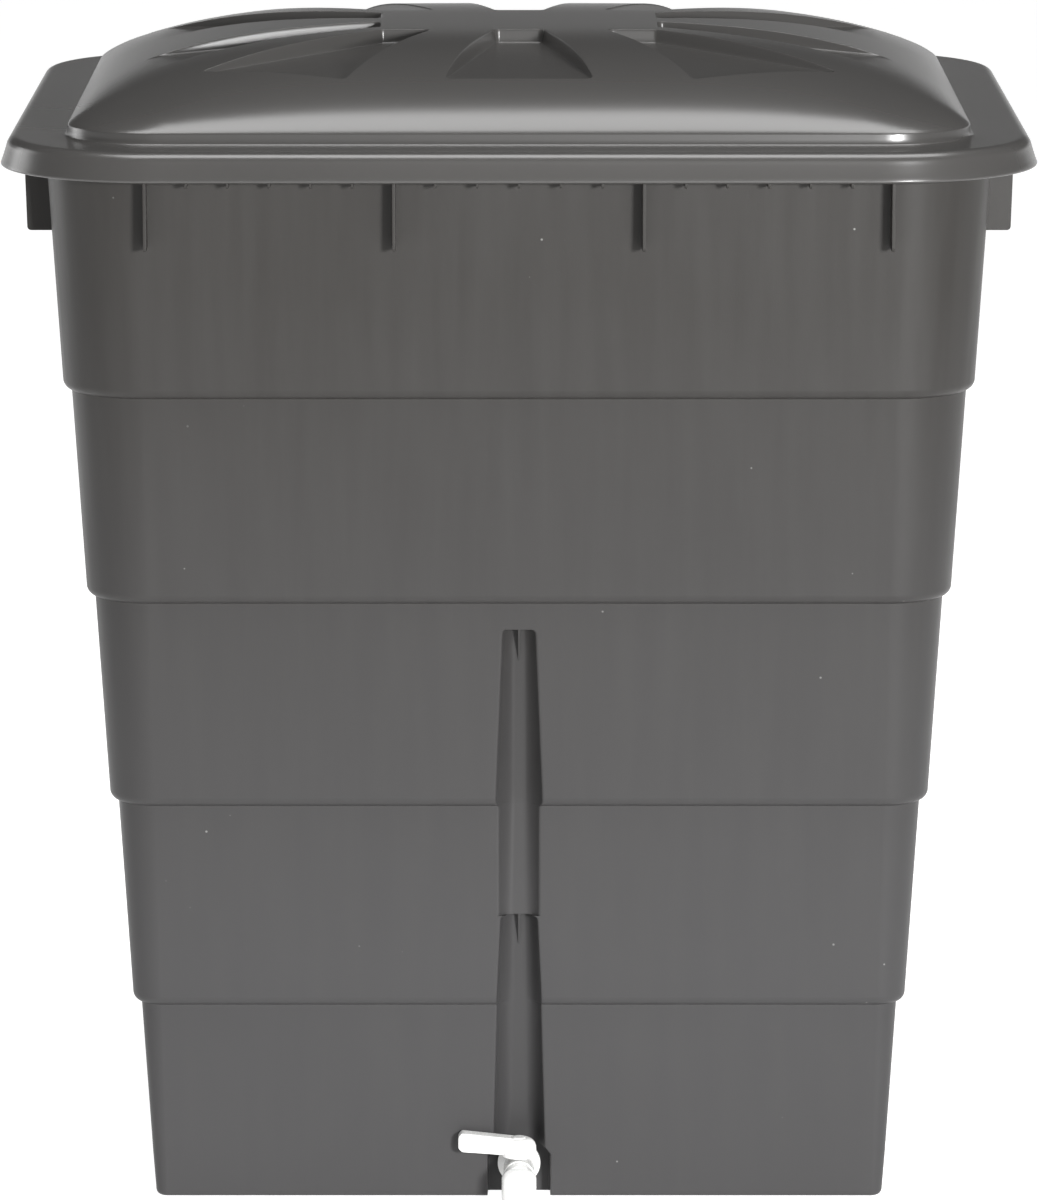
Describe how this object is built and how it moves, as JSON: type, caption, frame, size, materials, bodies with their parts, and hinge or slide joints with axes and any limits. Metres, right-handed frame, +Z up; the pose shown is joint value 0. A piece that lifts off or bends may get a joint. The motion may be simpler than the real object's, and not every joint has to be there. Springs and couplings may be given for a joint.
{
  "type": "rain barrel",
  "caption": "Tapered rectangular rain barrel in stepped tiers, with a ribbed rim, a lift-off domed lid with radiating flutes and a low front tap with a quarter-turn lever.",
  "frame": {"origin": "centre of the base, on the surface the barrel stands on", "axes": "+Z up, -Y towards the front with the tap, +X to the right seen from the front"},
  "size_m": [0.816, 0.696, 0.9305],
  "materials": {
    "tank_plastic": "satin moulded",
    "lid_plastic": "glossy moulded",
    "tap_plastic": "glossy moulded",
    "gasket_rubber": "matte",
    "seat_plastic": "smooth",
    "strainer_plastic": "moulded",
    "brass": "turned",
    "screw_steel": "plated"
  },
  "bodies": {
    "tank": {"tank_body": "tank_plastic", "tap_body": "tap_plastic", "spout_elbow": "tap_plastic", "outer_gasket": "gasket_rubber", "inner_gasket": "gasket_rubber", "lock_nut": "tap_plastic", "inlet_strainer": "strainer_plastic", "inlet_seat": "seat_plastic", "outlet_seat": "seat_plastic", "spout_o_ring": "gasket_rubber"},
    "lid": {"lid": "lid_plastic"},
    "tap_valve": {"valve_ball": "brass", "valve_stem": "brass", "stem_washer": "seat_plastic", "stem_o_ring_lower": "gasket_rubber", "stem_o_ring_upper": "gasket_rubber", "lever": "tap_plastic", "lever_screw": "screw_steel", "lever_cap": "tap_plastic"}
  },
  "joints": [
    {"name": "lid_lift", "type": "slide", "parent": "tank", "child": "lid", "axis": [0, 0, 1], "range_m": [0, 0.15]},
    {"name": "tap_lever", "type": "hinge", "parent": "tank", "child": "tap_valve", "pos_m": [0, -0.246, 0.045], "axis": [0, 0, 1], "range_deg": [0, 90]}
  ]
}
